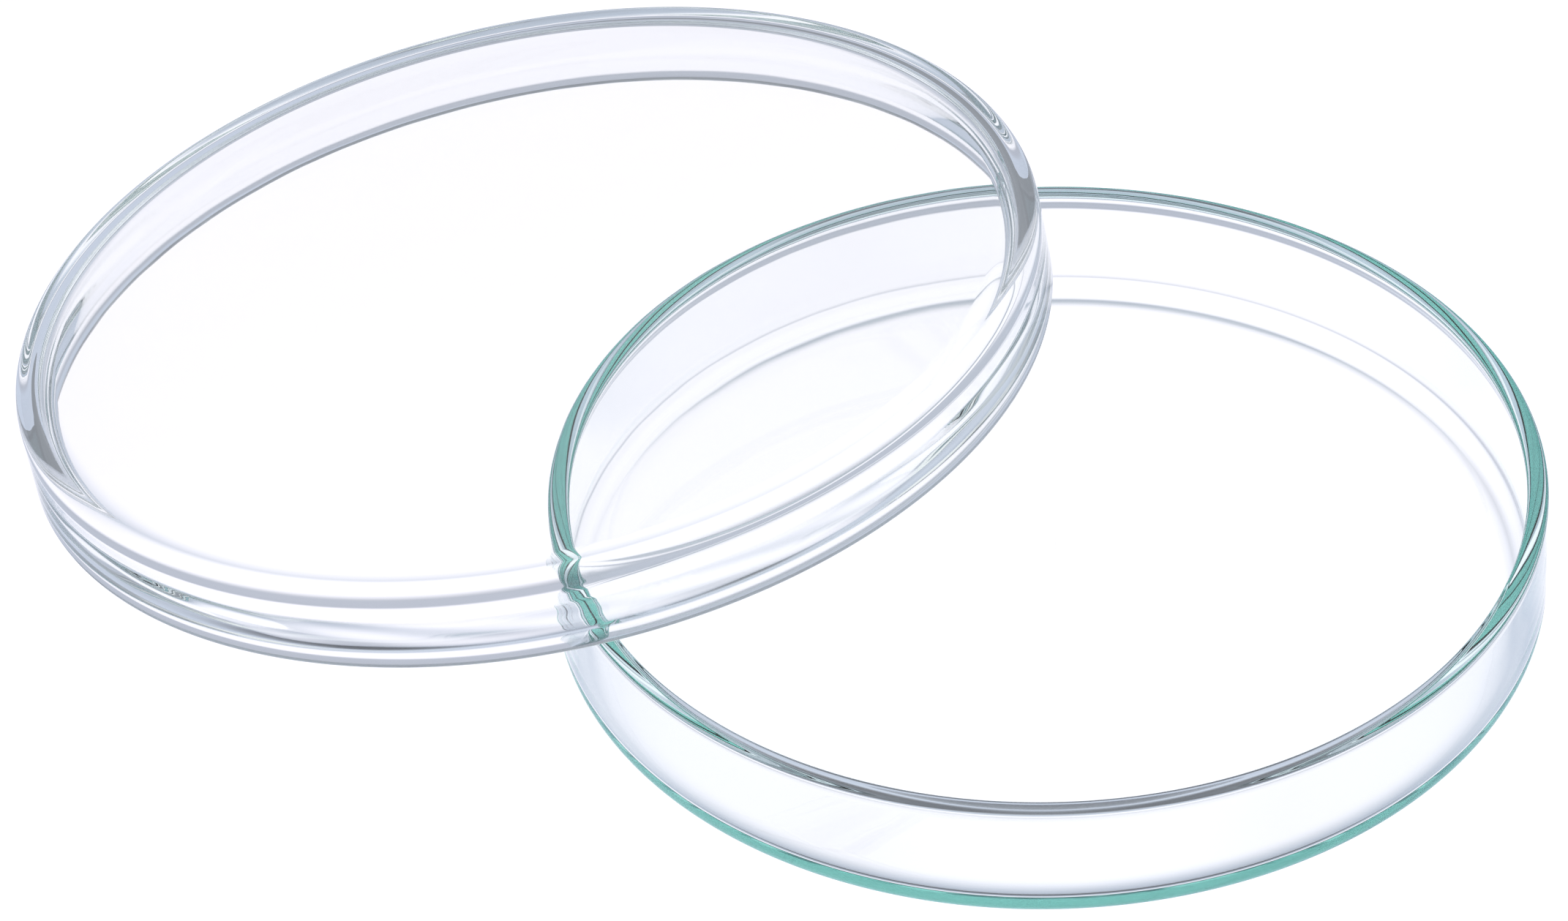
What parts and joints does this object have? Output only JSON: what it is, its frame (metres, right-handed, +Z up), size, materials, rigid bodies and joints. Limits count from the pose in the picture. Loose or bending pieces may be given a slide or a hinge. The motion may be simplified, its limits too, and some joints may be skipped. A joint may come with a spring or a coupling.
{
  "type": "petri dish",
  "caption": "Round clear glass culture dish: a flat-floored base with an upright wall, and a wider, shallower cover that leans half off it, open side down.",
  "frame": {"origin": "centre of the base's flat underside, on the surface the dish stands on", "axes": "+Z up along the base's axis; -X from the base's axis towards the cover's centre; the object is mirror-symmetric about the XZ plane"},
  "size_m": [0.1523, 0.1, 0.0252],
  "materials": {
    "base_glass": "clear, polished, faintly green at its edges",
    "lid_glass": "clear, polished, faintly green-grey at its edges"
  },
  "bodies": {
    "base": {"dish_base": "base_glass"},
    "lid": {"dish_lid": "lid_glass"}
  },
  "joints": [
    {"name": "lid_lift", "type": "slide", "parent": "base", "child": "lid", "axis": [0, 0, 1], "range_m": [0, 0.06]}
  ]
}
